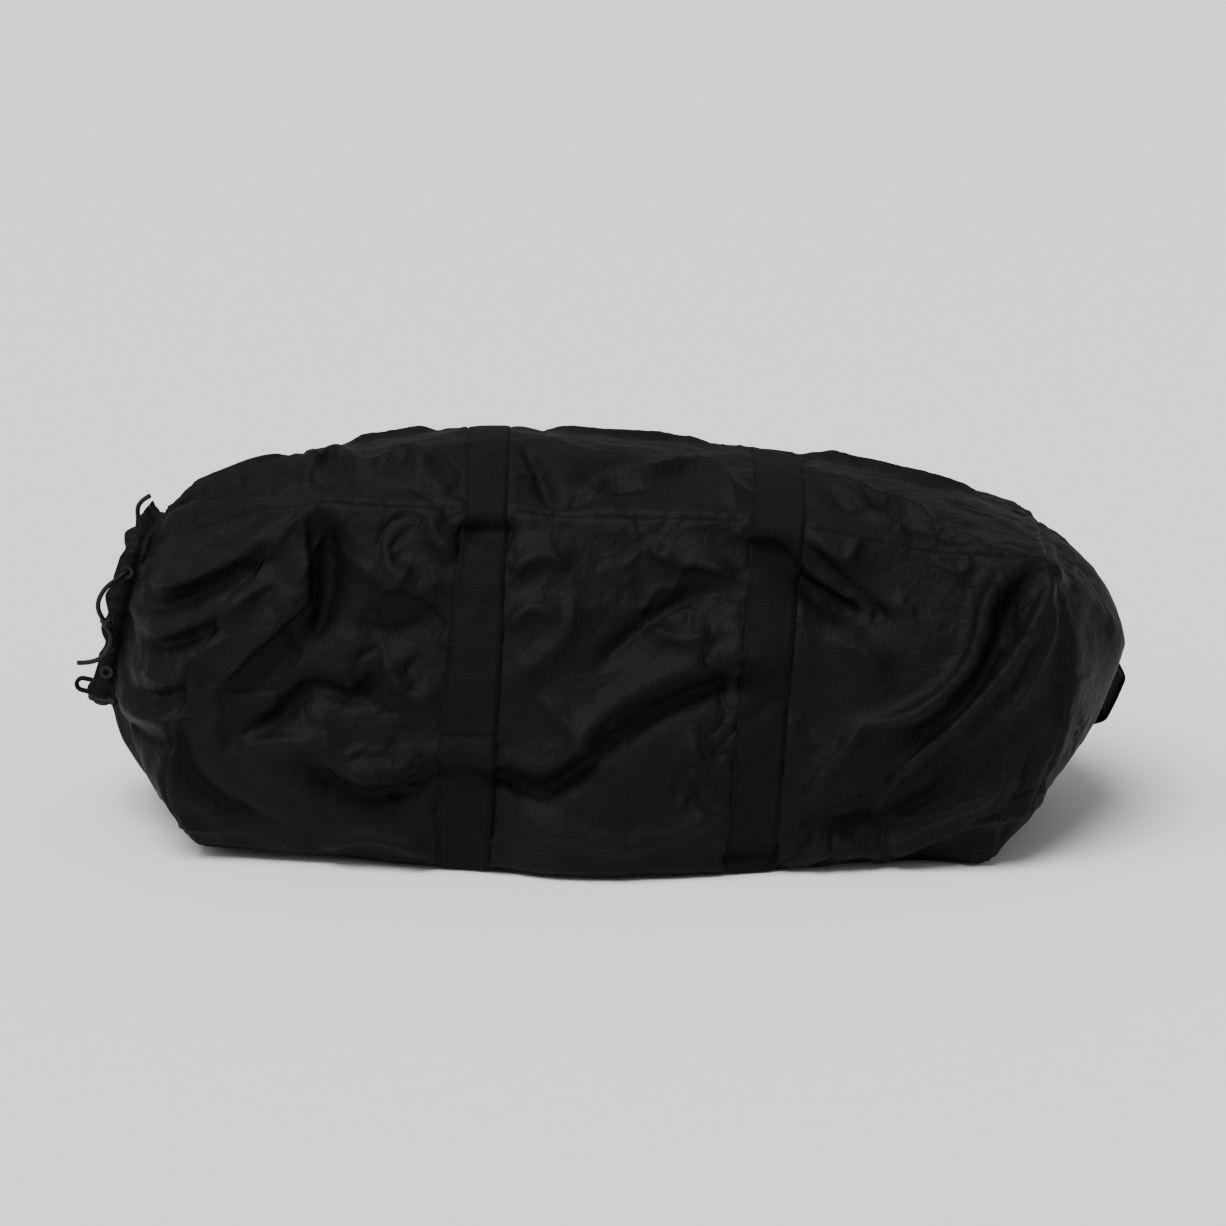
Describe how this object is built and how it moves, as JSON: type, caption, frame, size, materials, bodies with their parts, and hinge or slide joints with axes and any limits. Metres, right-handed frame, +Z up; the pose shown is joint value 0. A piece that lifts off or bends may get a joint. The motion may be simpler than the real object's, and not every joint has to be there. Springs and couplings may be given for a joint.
{
  "type": "duffel bag",
  "caption": "Soft fabric duffel bag lying on its side, with a drawcord mouth at one end, webbing bands round the body, a grab handle and a shoulder strap.",
  "frame": {"origin": "on the underside of the base, midway between the mouth end and the closed end of the body", "axes": "+X along the bag from the drawcord mouth to the closed end, +Y to the back where the shoulder strap hangs, +Z up"},
  "size_m": [0.8517, 0.3688, 0.3158],
  "materials": {
    "shell_fabric": "black nylon canvas with a soft crinkled sheen",
    "webbing": "matt black woven webbing",
    "binding_tape": "matt black binding tape",
    "cord": "black braided cord",
    "grommet_metal": "black enamel",
    "ring_metal": "black enamel",
    "slider_plastic": "matt black acetal"
  },
  "bodies": {
    "bag": {"front_panel": "shell_fabric", "top_panel": "shell_fabric", "back_panel": "shell_fabric", "bottom_panel": "shell_fabric", "end_panel": "shell_fabric", "collar_front": "shell_fabric", "collar_top": "shell_fabric", "collar_back": "shell_fabric", "collar_bottom": "shell_fabric", "mouth_hem": "shell_fabric", "body_band_left": "webbing", "body_band_right": "webbing", "grab_handle_end_lower": "webbing", "grab_handle_end_upper": "webbing", "strap_tab_left": "webbing", "strap_tab_right": "webbing", "rim_pull_loop": "webbing", "seam_binding_front_bottom": "binding_tape", "seam_binding_front_top": "binding_tape", "seam_binding_back_top": "binding_tape", "seam_binding_back_bottom": "binding_tape", "collar_seam_binding": "binding_tape", "end_seam_binding": "binding_tape", "grommets": "grommet_metal", "drawcord_in_hem": "cord", "drawcord_tail_lower": "cord", "drawcord_tail_upper": "cord", "drawcord_knot": "cord"},
    "grip": {"grab_handle": "webbing"},
    "ring_left": {"strap_ring_left": "ring_metal"},
    "ring_right": {"strap_ring_right": "ring_metal"},
    "strap": {"shoulder_strap": "webbing"},
    "slider": {"strap_slider": "slider_plastic"}
  },
  "joints": [
    {"name": "ring_left_pivot", "type": "hinge", "parent": "bag", "child": "ring_left", "pos_m": [-0.208, 0.148, 0.245], "axis": [1, 0, 0], "range_deg": [0, 75]},
    {"name": "ring_right_pivot", "type": "hinge", "parent": "bag", "child": "ring_right", "pos_m": [0.208, 0.148, 0.245], "axis": [1, 0, 0], "range_deg": [0, 75]},
    {"name": "strap_swing", "type": "hinge", "parent": "ring_left", "child": "strap", "pos_m": [-0.208, 0.15014, 0.22461], "axis": [1, 0, 0], "range_deg": [0, 75]},
    {"name": "slider_adjust", "type": "slide", "parent": "strap", "child": "slider", "axis": [1, 0, 0], "range_m": [-0.07, 0.07]},
    {"name": "grab_handle_lift", "type": "slide", "parent": "bag", "child": "grip", "axis": [0.9205, 0, -0.3907], "range_m": [-0.008, 0.003]}
  ],
  "couplings": [
    {"joint": "ring_right_pivot", "follows": "ring_left_pivot", "ratio": 1}
  ]
}
